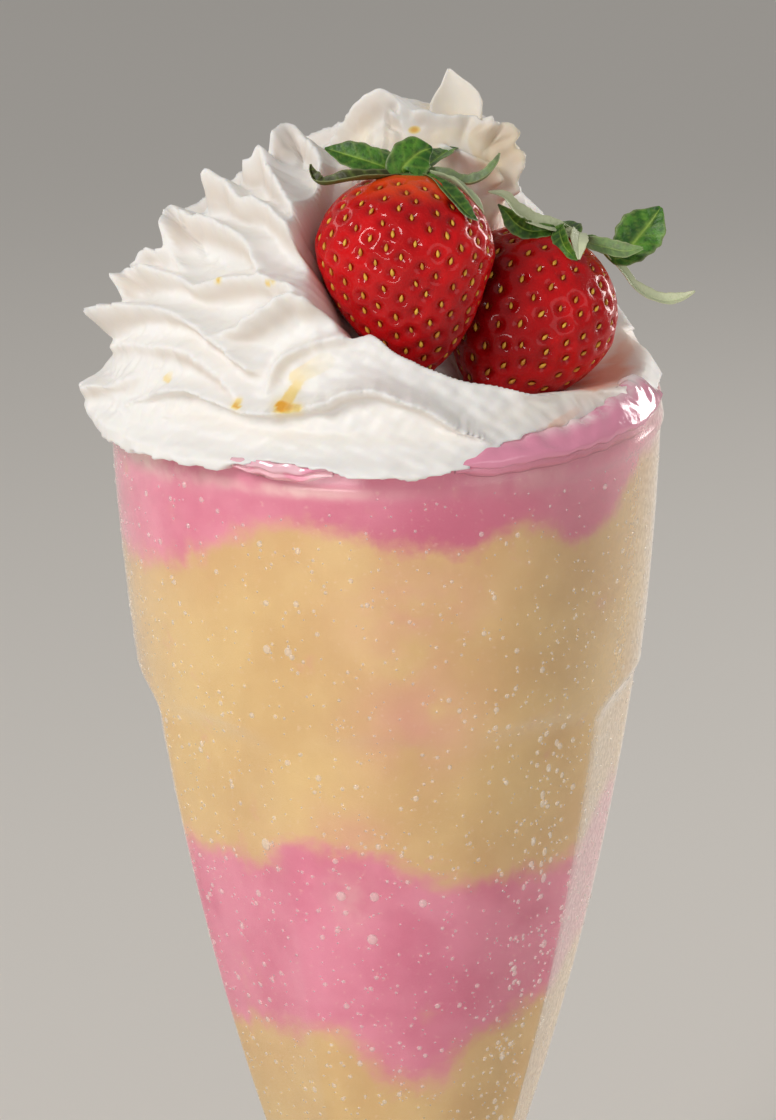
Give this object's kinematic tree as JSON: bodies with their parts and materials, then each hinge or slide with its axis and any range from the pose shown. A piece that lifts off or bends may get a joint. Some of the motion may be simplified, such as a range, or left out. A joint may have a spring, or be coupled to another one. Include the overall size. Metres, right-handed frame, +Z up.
{
  "type": "condensed milk milkshake",
  "caption": "Milkshake in bands of condensed milk and strawberry in a tall fluted soda glass, topped with piped whipped cream and whole strawberries.",
  "frame": {"origin": "centre of the foot's flat underside", "axes": "+Z up along the glass; the strawberries face -Y, and +X is to the right of someone who faces them"},
  "size_m": [0.096, 0.1003, 0.2502],
  "materials": {
    "clear_glass": "clear pressed glass, misted with fine drops",
    "milk_shake": "smooth opaque shake behind glass",
    "strawberry_shake": "smooth opaque shake behind glass",
    "cream": "soft satin",
    "strawberry": "wet gloss",
    "leaf": "satin"
  },
  "bodies": {
    "root": {"glass": "clear_glass", "lower_milk_band": "milk_shake", "lower_pink_band": "strawberry_shake", "upper_milk_band": "milk_shake", "upper_pink_band": "strawberry_shake", "whipped_cream": "cream", "left_strawberry": "strawberry", "right_strawberry": "strawberry", "left_leaves": "leaf", "right_leaves": "leaf"}
  },
  "joints": []
}
